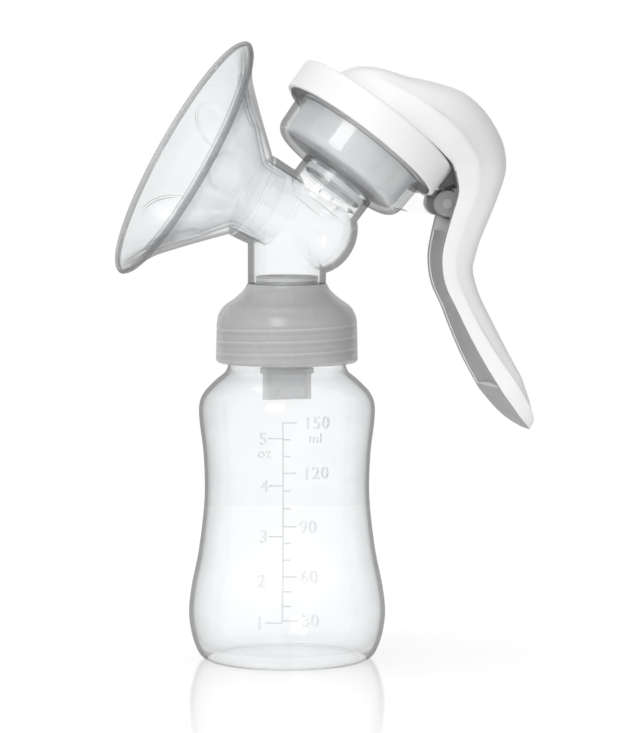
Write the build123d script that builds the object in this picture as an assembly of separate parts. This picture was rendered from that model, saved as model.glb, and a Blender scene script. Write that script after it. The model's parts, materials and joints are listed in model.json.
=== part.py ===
from build123d import *
import os
from math import cos, pi, radians, sin

# Manual breast pump standing on its bottle.
# Millimetres. +Z is up, the bottle's axis is Z and z = 0 is the surface it stands on.
# The funnel opens towards -X and the lever hangs on the +X side.

# ---------------------------------------------------------------- driving sizes
FIT_GAP = 0.05          # between push-fitted pieces of the same body

# bottle
BOTTLE_WALL = 1.3
BOTTLE_FOOT_R = 23.0
BOTTLE_CURVE = [(24.2, 0.0), (26.3, 1.4), (27.9, 4.4), (29.2, 9.0), (29.8, 15.0), (28.9, 22.8),
                (27.0, 32.0), (25.5, 43.0), (24.9, 52.0), (25.3, 63.0), (26.4, 72.0), (26.5, 77.5),
                (25.0, 81.2), (21.5, 84.9), (18.6, 87.4), (17.6, 90.0)]
BOTTLE_FLOOR_Z = 4.6
NECK_R = 17.6
NECK_BORE_R = 16.0
LIP_Z = 102.6

# adapter: collar, bell and spigots
COLLAR_Z = 90.3
COLLAR_R = 21.45
COLLAR_BORE_R = 19.7
BELL_CURVE = [(21.2, 102.4), (20.6, 104.9), (19.0, 107.3), (15.7, 109.7), (13.1, 112.1), (12.1, 114.0)]
ADAPTER_WALL = 1.7
SEAL_T = 1.2
SPIGOT_R = 9.3
SPIGOT_TOP_Z = 116.4
VALVE_SPIGOT_R = 6.2
VALVE_SPIGOT_Z = 90.0

# duckbill valve
VALVE_SLEEVE_R = 7.5
VALVE_FLANGE_R = 8.1
VALVE_TOP_Z = 97.0
VALVE_FLANGE_Z = 88.5
VALVE_LIP_Z = 79.0
VALVE_LIP_W = 15.0
VALVE_LIP_T = 2.4

# funnel axis: rises towards -X; heights along it count from the rim plane, mouth positive
FUNNEL_RISE = 29.0
RIM_X, RIM_Z = -32.0, 152.4
RIM_R = 39.5
SOCKET_S = -24.0
SHIELD_END_S = -35.0
SOCKET_R = 11.7
SOCKET_END_R = 11.2
TUNNEL_R = 10.5
TUNNEL_END_R = 10.0

# pump body
TUBE_R_MOUTH = 13.6
TUBE_R_END = 11.9
DOME_S = -50.0
DOME_LENGTH = 9.2
DOWN_TUBE_R = 11.8
DOWN_BORE_R = 9.45
DOWN_TUBE_Z = 114.1
BODY_WALL = 1.8

# head axis: leans towards +X; heights along it count from the cap ring's lower edge
HEAD_LEAN = 38.2
HEAD_X, HEAD_Z = 22.72, 156.97
NECK_OFFSET = 1.9
NECK_TUBE_R = 12.2
NECK_TUBE_BORE_R = 10.4
NECK_TOP_A = -13.35
SHELF_A = -17.7
CUP_R = 23.0
CUP_FLANGE_R = 25.95
CUP_BOTTOM_A = -13.1
CUP_FLOOR_A = -11.3
CUP_TOP_A = 0.8
DUCT_R = 2.5

# diaphragm, stem and guide
DIAPHRAGM_R = 20.0
DIAPHRAGM_WALL = 1.3
DIAPHRAGM_BOTTOM_A = -11.0
HUB_TOP_A = -7.0
FOOT_R = 7.0
STEM_R = 2.5
TBAR_R = 2.0
TBAR_A = 14.0
TBAR_HALF = 7.4
GUIDE_TOP_A = 8.2
GUIDE_T = 1.4

# cap ring
RING_R = 27.5
RING_H = 9.6
RING_BORE_R = 26.0

# handle: pivot in head coordinates, then travel
PIVOT_P, PIVOT_A = 32.0, 1.0
PIN_R = 1.6
KNUCKLE_R = 3.9
LUG_HALF = 4.0
CHEEK_IN, CHEEK_OUT = 4.3, 6.6
SQUEEZE_DEG = 20.0
SHELL_WALL = 1.9
HOOD_BASE_A = 10.0

FUNNEL = Plane(origin=(RIM_X, 0, RIM_Z),
               x_dir=(sin(radians(FUNNEL_RISE)), 0, cos(radians(FUNNEL_RISE))),
               z_dir=(-cos(radians(FUNNEL_RISE)), 0, sin(radians(FUNNEL_RISE))))
HEAD = Plane(origin=(HEAD_X, 0, HEAD_Z),
             x_dir=(cos(radians(HEAD_LEAN)), 0, -sin(radians(HEAD_LEAN))),
             z_dir=(sin(radians(HEAD_LEAN)), 0, cos(radians(HEAD_LEAN))))
HEAD_NECK = Plane(origin=HEAD.from_local_coords((NECK_OFFSET, 0, 0)), x_dir=HEAD.x_dir, z_dir=HEAD.z_dir)
PIVOT = HEAD.from_local_coords((PIVOT_P, 0, PIVOT_A))


# ---------------------------------------------------------------- helpers
def turned(frame, *curves):
    """Solid turned about the frame's axis from curves that close an outline of (radius, height)."""
    edges = [edge for curve in curves for edge in curve.edges()]
    return frame.location * revolve(Rot(90, 0, 0) * make_face(edges), Axis.Z)


def rod(frame, radius, low, high):
    """Cylinder on the frame's axis between two heights."""
    return frame.location * Pos(0, 0, (low + high) / 2) * Cylinder(radius, high - low)


def pipe(frame, radius, bore, low, high):
    """Tube on the frame's axis between two heights."""
    return rod(frame, radius, low, high) - rod(frame, bore, low - 1, high + 1)


def plate(outline, half):
    """Plate of an XZ outline, reaching half to each side of y = 0."""
    return extrude(Plane.XZ * outline, half, both=True)


def head_xz(p, a):
    """X and Z of a point given in head coordinates: p across, towards the lever, and a along the axis."""
    point = HEAD.from_local_coords((p, 0, a))
    return point.X, point.Z


def squeezed(shape, angle):
    """The shape as the handle sees it when the lever is squeezed by the angle."""
    return shape.rotate(Axis((PIVOT.X, 0, PIVOT.Z), (0, 1, 0)), -angle)


# ---------------------------------------------------------------- bottle and adapter
def bottle():
    top_r, top_z = BOTTLE_CURVE[-1]
    outside = turned(
        Plane.XY,
        Spline(*BOTTLE_CURVE),
        Polyline((top_r, top_z), (NECK_R, LIP_Z), (0, LIP_Z), (0, 3.2), (20.2, 1.6), (BOTTLE_FOOT_R - 1, 0),
                 BOTTLE_CURVE[0]))
    wall = [(r - BOTTLE_WALL, z) for r, z in BOTTLE_CURVE[3:]]
    inside = turned(
        Plane.XY,
        Spline((18.0, BOTTLE_FLOOR_Z - 0.8), (24.4, BOTTLE_FLOOR_Z - 0.6), (26.8, 6.4), *wall),
        Polyline(wall[-1], (NECK_BORE_R, 92), (NECK_BORE_R, LIP_Z + 1), (0, LIP_Z + 1),
                 (0, BOTTLE_FLOOR_Z), (18.0, BOTTLE_FLOOR_Z - 0.8)))
    return outside - inside


def bottle_seal():
    return pipe(Plane.XY, COLLAR_BORE_R - 0.4, NECK_BORE_R - 0.6, LIP_Z + 0.1, LIP_Z + 0.1 + SEAL_T)


def bottle_adapter():
    seat_z = LIP_Z + 0.2 + SEAL_T
    bell_r, bell_z = BELL_CURVE[0]
    neck_r, neck_z = BELL_CURVE[-1]
    outside = turned(
        Plane.XY,
        Polyline((0, COLLAR_Z), (COLLAR_R - 0.7, COLLAR_Z), (COLLAR_R, COLLAR_Z + 0.7), (bell_r, bell_z)),
        Spline(*BELL_CURVE, tangents=[(0, 1), (-0.3, 1)]),
        Polyline((neck_r, neck_z), (SPIGOT_R, neck_z), (SPIGOT_R, SPIGOT_TOP_Z), (0, SPIGOT_TOP_Z),
                 (0, COLLAR_Z)))
    roof = [(r - ADAPTER_WALL, z - 0.6) for r, z in BELL_CURVE[2:5]]
    inside = turned(
        Plane.XY,
        Polyline((0, COLLAR_Z - 1), (COLLAR_BORE_R, COLLAR_Z - 1), (COLLAR_BORE_R, seat_z), (17.3, seat_z),
                 roof[0]),
        Spline(*roof),
        Polyline(roof[-1], (0, roof[-1][1]), (0, COLLAR_Z - 1)))
    return (outside - inside
            + rod(Plane.XY, VALVE_SPIGOT_R, VALVE_SPIGOT_Z, roof[-1][1] + 1)
            + rod(Plane.XY, SPIGOT_R, roof[-1][1] - 2.5, roof[-1][1] + 1)
            - rod(Plane.XY, VALVE_SPIGOT_R - 1.2, VALVE_SPIGOT_Z - 1, roof[-1][1] + 2)
            - rod(Plane.XY, SPIGOT_R - 1.4, roof[-1][1] + 1, SPIGOT_TOP_Z + 1)
            - pipe(Plane.XY, SPIGOT_R + 1, SPIGOT_R - 0.5, SPIGOT_TOP_Z - 1.5, SPIGOT_TOP_Z - 0.5))


def tube_seal():
    """Thin sealing ring in the groove of the adapter's upper spigot."""
    return pipe(Plane.XY, DOWN_BORE_R - 0.02, SPIGOT_R - 0.48, SPIGOT_TOP_Z - 1.48, SPIGOT_TOP_Z - 0.52)


def bill_shape(width, top_z, lip_width, lip_thickness, lip_z):
    """Loft from a nearly round top to the flat lips of the duckbill."""
    return loft([Pos(0, 0, top_z) * RectangleRounded(width, width, width * 0.49),
                 Pos(0, 0, lip_z) * RectangleRounded(lip_width, lip_thickness, lip_thickness * 0.45)])


def duckbill_valve():
    sleeve = (rod(Plane.XY, VALVE_SLEEVE_R, VALVE_FLANGE_Z, VALVE_TOP_Z)
              + rod(Plane.XY, VALVE_FLANGE_R, VALVE_FLANGE_Z - 1.5, VALVE_FLANGE_Z))
    start_z = VALVE_FLANGE_Z - 1.5
    bill = bill_shape(2 * VALVE_SLEEVE_R - 0.4, start_z, VALVE_LIP_W, VALVE_LIP_T, VALVE_LIP_Z)
    hollow = bill_shape(2 * VALVE_SLEEVE_R - 3.0, start_z + 0.01, VALVE_LIP_W - 2.6, 0.4, VALVE_LIP_Z - 0.01)
    bore = rod(Plane.XY, VALVE_SPIGOT_R + FIT_GAP, start_z, VALVE_TOP_Z + 1)
    return sleeve + bill - hollow - bore


# ---------------------------------------------------------------- funnel side
# The cone's outside, from the throat to the rim, as (radius, height along the funnel axis).
CONE_CURVE = [(13.3, SOCKET_S + 0.4), (19.7, -16.8), (25.2, -11.1), (31.3, -5.3), (38.2, -1.4)]


def lifted(curve, height):
    return [(r, s + height) for r, s in curve]


def breast_shield():
    inner = lifted(CONE_CURVE[1:4], 1.9)
    return turned(
        FUNNEL,
        Spline(*CONE_CURVE),
        Polyline(CONE_CURVE[-1], (38.4, -0.2), (37.4, 0.0), (36.6, -0.2)),
        Spline((36.6, -0.2), inner[2], inner[1], inner[0], (11.6, SOCKET_S + 1.2), (TUNNEL_R, SOCKET_S - 1.5),
               tangents=[(-1, -0.35), (0, -1)]),
        Polyline((TUNNEL_R, SOCKET_S - 1.5), (TUNNEL_END_R, SHIELD_END_S),
                 (SOCKET_END_R - FIT_GAP, SHIELD_END_S), (SOCKET_R - FIT_GAP, SOCKET_S + FIT_GAP),
                 (13.3, SOCKET_S + FIT_GAP), CONE_CURVE[0]))


# Petals of the massage cushion: shallow round pads that stand off the cone.
PETALS = 5
PETAL_TURN = 270.0      # one petal points straight towards -Y
PETAL_R = 16.0
PETAL_RISE = 2.2
PETAL_MID = (25.0, -8.0)
CUSHION_T = 1.0


def massage_cushion():
    back = [(36.4, 0.1)] + list(reversed(lifted(CONE_CURVE[1:4], 2.1)))
    front = list(reversed(lifted(CONE_CURVE[1:4], 2.1 + 1.4 * CUSHION_T)))
    end_s = SOCKET_S - 6.0
    back_run = Spline(*back, (11.4, SOCKET_S + 1.4), (10.35, SOCKET_S - 1.7), tangents=[(-1, -0.35), (0, -1)])
    front_run = Spline((36.2, 1.15), *front, (10.7, SOCKET_S + 2.4), (9.4, SOCKET_S - 1.0),
                       tangents=[(-1, -0.35), (0, -1)])
    lip = [Polyline((36.4, 0.1), (37.4, 0.2), (38.45, 0.0), (38.55, -1.2), (38.3, -1.6), (38.4, -2.0),
                    (38.9, -1.9)),
           ThreePointArc((38.9, -1.9), (RIM_R, -0.6), (38.7, 0.65)),
           Spline((38.7, 0.65), (37.6, 1.1), (36.2, 1.15))]
    sleeve = Polyline((10.35, SOCKET_S - 1.7), (10.2, end_s), (9.4, end_s), (9.4, SOCKET_S - 1.0))
    liner = turned(FUNNEL, back_run, front_run, *lip, sleeve)
    middle = lifted(CONE_CURVE[1:4], 2.1 + 0.7 * CUSHION_T)
    (low_r, low_s), (high_r, high_s) = middle[0], middle[-1]
    space = turned(
        FUNNEL,
        Polyline((low_r - 5, low_s - 5), *middle, (high_r + 3, high_s + 3), (high_r + 3, 8), (0, 8),
                 (0, low_s - 5), (low_r - 5, low_s - 5)))
    mid_r, mid_s = PETAL_MID
    depth = (PETAL_R - PETAL_RISE) * sin(pi / 4)
    centres = [FUNNEL.location * Rot(0, 0, PETAL_TURN + 360 / PETALS * k)
               * Pos(mid_r + depth, 0, mid_s - depth) for k in range(PETALS)]
    for centre in centres:
        liner = liner - centre * Sphere(PETAL_R - CUSHION_T)
    for centre in centres:
        liner = liner + ((centre * Sphere(PETAL_R) - centre * Sphere(PETAL_R - CUSHION_T)) & space)
    return liner


# ---------------------------------------------------------------- pump body
def pump_body():
    inner_top = TUBE_R_END - BODY_WALL
    tube = turned(
        FUNNEL,
        Polyline((0, SOCKET_S), (TUBE_R_MOUTH, SOCKET_S), (TUBE_R_END, DOME_S)),
        EllipticalCenterArc((0, DOME_S), TUBE_R_END, DOME_LENGTH, start_angle=270, arc_size=90),
        Line((0, DOME_S - DOME_LENGTH), (0, SOCKET_S)))
    chamber = turned(
        FUNNEL,
        Polyline((0, SOCKET_S + 1), (SOCKET_R, SOCKET_S + 1), (SOCKET_R, SOCKET_S),
                 (SOCKET_END_R, SHIELD_END_S - 0.5), (inner_top, SHIELD_END_S - 1.5), (inner_top, DOME_S)),
        EllipticalCenterArc((0, DOME_S), inner_top, DOME_LENGTH - BODY_WALL, start_angle=270, arc_size=90),
        Line((0, DOME_S - DOME_LENGTH + BODY_WALL), (0, SOCKET_S + 1)))
    column = rod(Plane.XY, DOWN_TUBE_R, DOWN_TUBE_Z, 150)
    column = column - FUNNEL.location * Pos(40, 0, -40) * Box(80, 60, 120)
    column = column - FUNNEL.location * Pos(0, 0, SOCKET_S + 50) * Box(200, 60, 100)
    neck = pipe(HEAD_NECK, NECK_TUBE_R, NECK_TUBE_BORE_R, -24, NECK_TOP_A)
    neck = neck - FUNNEL.location * Pos(-20, 0, -40) * Box(40, 60, 60)
    shelf = rod(HEAD_NECK, NECK_TUBE_BORE_R + 0.1, -24, SHELF_A)
    shelf = shelf & HEAD.location * Pos(-11.5, 0, -20) * Box(40, 40, 30)
    return (tube + column + neck + shelf
            - chamber
            - rod(Plane.XY, DOWN_BORE_R, DOWN_TUBE_Z - 1, 130)
            - rod(HEAD_NECK, DUCT_R, -26, SHELF_A + 1))


def vacuum_cup():
    shell = turned(
        HEAD,
        Polyline((0, CUP_BOTTOM_A), (18.4, CUP_BOTTOM_A)),
        ThreePointArc((18.4, CUP_BOTTOM_A), (21.2, CUP_BOTTOM_A + 1.15), (22.5, -9.0)),
        Polyline((22.5, -9.0), (CUP_R, -0.9), (CUP_FLANGE_R - 0.7, -0.9), (CUP_FLANGE_R, -0.2),
                 (CUP_FLANGE_R, CUP_TOP_A), (21.3, CUP_TOP_A), (20.9, -8.4)),
        ThreePointArc((20.9, -8.4), (19.9, -10.45), (17.6, CUP_FLOOR_A)),
        Polyline((17.6, CUP_FLOOR_A), (0, CUP_FLOOR_A), (0, CUP_BOTTOM_A)))
    fit_r, spigot_bore_r = NECK_TUBE_BORE_R - FIT_GAP, NECK_TUBE_BORE_R - 2.2
    spigot = pipe(HEAD_NECK, fit_r - 0.6, spigot_bore_r, -16.8, CUP_BOTTOM_A + 0.1)
    collar = pipe(HEAD_NECK, fit_r, spigot_bore_r, -14.4, CUP_BOTTOM_A + 0.1)
    knuckle = Pos(PIVOT_P, PIVOT_A) * Circle(KNUCKLE_R)
    root = Polygon((21.8, -8.6), (24.5, -8.0), (24.5, -1.0), (21.8, -1.0), align=None)
    outline = make_hull(knuckle.edges() + root.edges())
    lug = HEAD.location * Rot(90, 0, 0) * extrude(outline, LUG_HALF, both=True)
    lug = lug - rod(HEAD, RING_R + 0.45, -0.25, RING_H + 5) - rod(HEAD, CUP_R - 0.6, -20, 10)
    return (shell + spigot + collar + lug
            - rod(HEAD_NECK, DUCT_R, CUP_BOTTOM_A - 1, CUP_FLOOR_A + 1)
            - pin_hole(PIN_R + 0.02))


def cup_seal():
    """Soft ring on the cup's spigot, inside the neck of the pump body."""
    return pipe(HEAD_NECK, NECK_TUBE_BORE_R - 0.02, NECK_TUBE_BORE_R - FIT_GAP - 0.58, -16.2, -14.45)


# ---------------------------------------------------------------- diaphragm, stem and guide
def diaphragm():
    wall_top = CUP_TOP_A + 1.8
    shell = turned(
        HEAD,
        Polyline((0, DIAPHRAGM_BOTTOM_A), (DIAPHRAGM_R - 2.4, DIAPHRAGM_BOTTOM_A)),
        ThreePointArc((DIAPHRAGM_R - 2.4, DIAPHRAGM_BOTTOM_A), (DIAPHRAGM_R - 0.75, DIAPHRAGM_BOTTOM_A + 0.7),
                      (DIAPHRAGM_R - 0.1, DIAPHRAGM_BOTTOM_A + 2.4)),
        Polyline((DIAPHRAGM_R - 0.1, DIAPHRAGM_BOTTOM_A + 2.4), (DIAPHRAGM_R + 0.3, CUP_TOP_A + 0.05),
                 (CUP_FLANGE_R - 0.25, CUP_TOP_A + 0.05), (CUP_FLANGE_R - 0.25, wall_top),
                 (DIAPHRAGM_R + 0.3 - DIAPHRAGM_WALL, wall_top),
                 (DIAPHRAGM_R - 0.1 - DIAPHRAGM_WALL, DIAPHRAGM_BOTTOM_A + 1.5),
                 (9.5, DIAPHRAGM_BOTTOM_A + 1.5),
                 (8.8, HUB_TOP_A), (0, HUB_TOP_A), (0, DIAPHRAGM_BOTTOM_A)))
    pocket = rod(HEAD, FOOT_R + FIT_GAP, DIAPHRAGM_BOTTOM_A + 1.7, DIAPHRAGM_BOTTOM_A + 3.0)
    return shell - pocket - rod(HEAD, STEM_R + FIT_GAP, DIAPHRAGM_BOTTOM_A + 2, HUB_TOP_A + 1)


def pump_stem():
    foot = rod(HEAD, FOOT_R, DIAPHRAGM_BOTTOM_A + 1.75, DIAPHRAGM_BOTTOM_A + 2.95)
    shank = rod(HEAD, STEM_R, DIAPHRAGM_BOTTOM_A + 2, TBAR_A)
    bar = HEAD.location * Pos(0, 0, TBAR_A) * Rot(90, 0, 0) * Cylinder(TBAR_R, 2 * TBAR_HALF)
    return foot + shank + bar


def stem_washer():
    return pipe(HEAD, 6.5, STEM_R + 0.02, HUB_TOP_A + FIT_GAP, HUB_TOP_A + 1.0)


def guide_plate():
    skirt_low = CUP_TOP_A + 1.85
    plate_low = GUIDE_TOP_A - GUIDE_T
    disc = pipe(HEAD, CUP_FLANGE_R - 0.3, CUP_FLANGE_R - 2.0, skirt_low, plate_low + 0.1)
    disc = disc + rod(HEAD, CUP_FLANGE_R - 0.3, plate_low, GUIDE_TOP_A) + rod(HEAD, 4.0, plate_low, 9.6)
    vents = [HEAD.location * Rot(0, 0, 60 * k + 30) * Pos(14.5, 0, plate_low) * Cylinder(3.0, 6)
             for k in range(6)]
    for vent in vents:
        disc = disc - vent
    return disc - rod(HEAD, STEM_R + 0.07, 0, 12)


def cap_ring():
    lip_r = 23.6
    return turned(
        HEAD,
        Polyline((RING_BORE_R, 0), (RING_R - 0.7, 0), (RING_R - 0.25, 0.45), (RING_R, RING_H - 0.8),
                 (RING_R - 0.8, RING_H), (lip_r, RING_H), (lip_r, GUIDE_TOP_A + FIT_GAP),
                 (RING_BORE_R, GUIDE_TOP_A + FIT_GAP), close=True))


# ---------------------------------------------------------------- handle
# Sections of the handle from the hood's nose to the lever's tip. Each has the middle of its open
# side, the point opposite on the outside, and its half width.
HANDLE = ([(head_xz(*low), head_xz(*high), half) for low, high, half in [
              ((-17.6, HOOD_BASE_A), (-17.7, 11.4), 4.2),
              ((-16.4, HOOD_BASE_A), (-16.6, 13.6), 8.2),
              ((-13.6, HOOD_BASE_A), (-14.0, 17.4), 12.6),
              ((-9.0, HOOD_BASE_A), (-8.9, 20.9), 16.8),
              ((-3.0, HOOD_BASE_A), (-1.2, 24.0), 20.0),
              ((3.0, HOOD_BASE_A), (6.6, 27.8), 21.8),
              ((8.5, HOOD_BASE_A), (15.7, 31.0), 22.3),
              ((13.5, HOOD_BASE_A), (24.9, 30.5), 21.8),
              ((18.5, HOOD_BASE_A), (33.4, 27.5), 19.9),
              ((23.5, HOOD_BASE_A), (38.5, 23.9), 17.0)]]
          + [((49.2, 146.4), (67.8, 146.8), 14.6),
             ((50.6, 141.8), (65.8, 140.2), 11.8),
             ((49.7, 136.2), (63.0, 133.0), 9.9),
             ((47.9, 129.6), (60.3, 126.6), 9.0),
             ((46.4, 121.6), (58.5, 120.6), 8.4),
             ((47.4, 113.6), (58.0, 117.2), 8.4),
             ((50.9, 106.0), (59.9, 110.2), 9.0),
             ((54.5, 98.0), (63.4, 103.0), 10.5),
             ((59.2, 88.9), (68.0, 93.9), 12.4),
             ((64.9, 79.7), (72.5, 85.1), 13.6),
             ((70.4, 72.9), (75.3, 77.0), 11.4),
             ((73.6, 70.0), (76.3, 72.7), 8.2),
             ((75.4, 68.7), (76.7, 70.5), 4.4),
             ((76.2, 68.3), (76.7, 69.1), 1.4)])
BULGE = 2.4             # exponent of a section's outline: 2 is an ellipse, larger is squarer
BOW_POINTS = 9
SECTION_STEP = 4.5      # spacing of the loft's sections, counted in outline plus half width
HOLLOW_FROM, HOLLOW_TO = 3, -6
COVER_Z = 133.0         # the grip face starts below this height
COVER_DIP = 1.2


def between(before, start, end, after, t):
    """Catmull-Rom value between start and end."""
    return 0.5 * (2 * start + (end - before) * t
                  + (2 * before - 5 * start + 4 * end - after) * t * t
                  + (3 * start - before - 3 * end + after) * t * t * t)


def handle_sections():
    """The handle's listed sections, joined smoothly and spaced evenly along the outside."""
    rows = [(*low, *high, half) for low, high, half in HANDLE]
    rows = [rows[0]] + rows + [rows[-1]]
    fine = []
    for k in range(1, len(rows) - 2):
        for j in range(20):
            fine.append([between(*values, j / 20) for values in zip(*rows[k - 1:k + 3])])
    fine.append(list(rows[-1]))
    even, travelled = [fine[0]], 0.0
    for last, row in zip(fine, fine[1:]):
        inner_step = ((row[0] - last[0]) ** 2 + (row[1] - last[1]) ** 2) ** 0.5
        outer_step = ((row[2] - last[2]) ** 2 + (row[3] - last[3]) ** 2) ** 0.5
        travelled += max(inner_step, outer_step) + abs(row[4] - last[4])
        if travelled >= SECTION_STEP:
            even.append(row)
            travelled = 0.0
    even[-1] = fine[-1]
    return [((lx, lz), (hx, hz), half) for lx, lz, hx, hz, half in even]


SECTIONS = handle_sections()


def section_plane(low, high):
    """Plane across the handle with x along Y and y from the open side to the outside."""
    dx, dz = high[0] - low[0], high[1] - low[1]
    length = (dx * dx + dz * dz) ** 0.5
    return Plane(origin=(low[0], 0, low[1]), x_dir=(0, 1, 0), z_dir=(dz / length, 0, -dx / length)), length


def bow(half, rise):
    """Superellipse arch of a half width and a rise, from +half to -half."""
    points = []
    for k in range(BOW_POINTS):
        angle = pi * k / (BOW_POINTS - 1)
        c, s = cos(angle), sin(angle)
        across = half * abs(c) ** (2 / BULGE) * (1 if c >= 0 else -1)
        points.append((across, rise * max(s, 0.0) ** (2 / BULGE)))
    points[0], points[-1] = (half, 0), (-half, 0)
    points[BOW_POINTS // 2] = (0, rise)
    return Spline(*points, tangents=[(0, 1), (0, -1)])


def solid_loft(sections):
    """Solid part of the handle through the given sections."""
    faces = []
    for low, high, half in sections:
        plane, length = section_plane(low, high)
        faces.append(plane * make_face([bow(half, length), Line((-half, 0), (half, 0))]))
    return loft(faces)


def open_loft(sections, wall):
    """Hollow part of the handle: a wall that arches over an open side."""
    faces = []
    for low, high, half in sections:
        plane, length = section_plane(low, high)
        inner = half - wall
        faces.append(plane * make_face([bow(half, length), Line((-half, 0), (-inner, 0)),
                                        bow(inner, length - wall), Line((inner, 0), (half, 0))]))
    return loft(faces)


def inner_loft(sections, wall):
    """The space inside the handle's wall."""
    return solid_loft([(low, shortened(low, high, wall), half - wall) for low, high, half in sections])


def shortened(low, high, wall):
    """The outside point moved in by the wall."""
    dx, dz = high[0] - low[0], high[1] - low[1]
    length = (dx * dx + dz * dz) ** 0.5
    return high[0] - dx * wall / length, high[1] - dz * wall / length


def pin_hole(radius):
    return Pos(PIVOT.X, 0, PIVOT.Z) * Rot(90, 0, 0) * Cylinder(radius, 40)


def swept_clearance():
    """Room the ring, the cup's lug and the flange need beside the handle over its whole travel."""
    ring = rod(HEAD, RING_R + 0.5, -1.6, RING_H + 0.4)
    knuckle = Pos(PIVOT.X, 0, PIVOT.Z) * Rot(90, 0, 0) * Cylinder(KNUCKLE_R + 0.5, 2 * CHEEK_IN)
    lug = HEAD.location * Pos(26, 0, -4.5) * Box(13, 2 * CHEEK_IN, 8)
    fixed = [ring, lug]
    steps = [squeezed(shape, SQUEEZE_DEG * k / 4) for shape in fixed for k in range(5)]
    room = knuckle
    for step in steps:
        room = room + step
    return room


def handle_shell(room):
    nose = solid_loft(SECTIONS[:HOLLOW_FROM + 1])
    tip = solid_loft(SECTIONS[HOLLOW_TO - 1:])
    shell = nose + open_loft(SECTIONS[HOLLOW_FROM:HOLLOW_TO], SHELL_WALL) + tip - room
    reach = Polygon((PIVOT.X, PIVOT.Z + KNUCKLE_R), (PIVOT.X, PIVOT.Z - KNUCKLE_R), (66, 127), (68, 147),
                    align=None)
    web = plate(reach, CHEEK_OUT) & solid_loft(SECTIONS[HOLLOW_FROM:HOLLOW_TO])
    knuckle = Pos(PIVOT.X, 0, PIVOT.Z) * Rot(90, 0, 0) * Cylinder(KNUCKLE_R, 2 * CHEEK_OUT)
    gap = Pos(PIVOT.X, 0, PIVOT.Z) * Box(60, 2 * CHEEK_IN, 60)
    cheeks = (web - room + knuckle) - gap
    return shell + cheeks - pin_hole(PIN_R + 0.06)


def handle_cover(room):
    """Grip face that closes the lever's open side, dished along its middle."""
    sections = []
    for low, high, half in SECTIONS[HOLLOW_FROM:HOLLOW_TO]:
        if low[1] > COVER_Z:
            continue
        plane, length = section_plane(low, high)
        edge = half - SHELL_WALL - 0.15
        dip = COVER_DIP * edge / 12
        front = ThreePointArc((edge, 0.3), (0, 0.3 + dip), (-edge, 0.3))
        back = Polyline((-edge, 0.3), (-edge + 0.6, 2.6), (edge - 0.6, 2.6), (edge, 0.3))
        sections.append(plane * make_face([front] + list(back.edges())))
    return loft(sections) - room


def stem_hook():
    """Yoke under the hood whose slots pull the stem's cross-bar."""
    block = HEAD.location * Pos(-3.2, 0, 18) * Box(17, 15.6, 15.2)
    block = block & inner_loft(SECTIONS[HOLLOW_FROM:HOLLOW_TO], SHELL_WALL + 0.08)
    gap = HEAD.location * Pos(-3.2, 0, 13.5) * Box(30, 9.2, 10)
    slot_low, slot_high = TBAR_A - TBAR_R - 0.3, TBAR_A + TBAR_R + 0.75
    slot = HEAD.location * Pos(-3.45, 0, (slot_low + slot_high) / 2) * Box(12.2, 30, slot_high - slot_low)
    return block - gap - slot


def pivot_pin():
    return Pos(PIVOT.X, 0, PIVOT.Z) * Rot(90, 0, 0) * Cylinder(PIN_R, 2 * CHEEK_OUT)


# ---------------------------------------------------------------- write the parts
def main():
    os.makedirs("parts", exist_ok=True)
    room = swept_clearance()
    parts = {
        "bottle": bottle(),
        "bottle_seal": bottle_seal(),
        "bottle_adapter": bottle_adapter(),
        "tube_seal": tube_seal(),
        "duckbill_valve": duckbill_valve(),
        "pump_body": pump_body(),
        "breast_shield": breast_shield(),
        "massage_cushion": massage_cushion(),
        "vacuum_cup": vacuum_cup(),
        "cup_seal": cup_seal(),
        "diaphragm": diaphragm(),
        "pump_stem": pump_stem(),
        "stem_washer": stem_washer(),
        "guide_plate": guide_plate(),
        "cap_ring": cap_ring(),
        "handle_shell": handle_shell(room),
        "handle_cover": handle_cover(room),
        "stem_hook": stem_hook(),
        "pivot_pin": pivot_pin(),
    }
    for name, shape in parts.items():
        export_step(shape, f"parts/{name}.step")


main()
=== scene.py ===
import json
import math

import bpy
import numpy as np
from mathutils import Matrix, Vector


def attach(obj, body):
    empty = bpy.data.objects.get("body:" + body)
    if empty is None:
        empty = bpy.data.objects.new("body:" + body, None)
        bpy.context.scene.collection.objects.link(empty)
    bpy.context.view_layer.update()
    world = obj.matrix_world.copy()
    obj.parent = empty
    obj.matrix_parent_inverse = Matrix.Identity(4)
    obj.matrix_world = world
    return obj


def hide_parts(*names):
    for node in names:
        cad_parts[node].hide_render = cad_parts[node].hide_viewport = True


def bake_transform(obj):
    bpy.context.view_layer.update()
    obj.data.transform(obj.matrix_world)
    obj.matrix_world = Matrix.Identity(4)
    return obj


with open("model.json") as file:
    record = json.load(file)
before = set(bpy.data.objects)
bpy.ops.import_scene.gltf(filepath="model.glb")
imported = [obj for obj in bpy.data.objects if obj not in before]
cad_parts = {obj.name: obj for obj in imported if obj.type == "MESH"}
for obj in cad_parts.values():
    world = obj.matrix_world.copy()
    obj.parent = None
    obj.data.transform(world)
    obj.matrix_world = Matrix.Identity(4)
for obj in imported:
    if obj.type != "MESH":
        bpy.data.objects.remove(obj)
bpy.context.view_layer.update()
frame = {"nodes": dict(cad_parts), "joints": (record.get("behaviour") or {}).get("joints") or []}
JOINTS = {joint["name"]: joint for joint in frame["joints"]}
MM = 0.001

# A manual breast pump on its bottle. Lengths below are millimetres unless a name says otherwise;
# Blender gets metres. Every turned piece is an outline of (radius, height) about its own axis.

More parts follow.
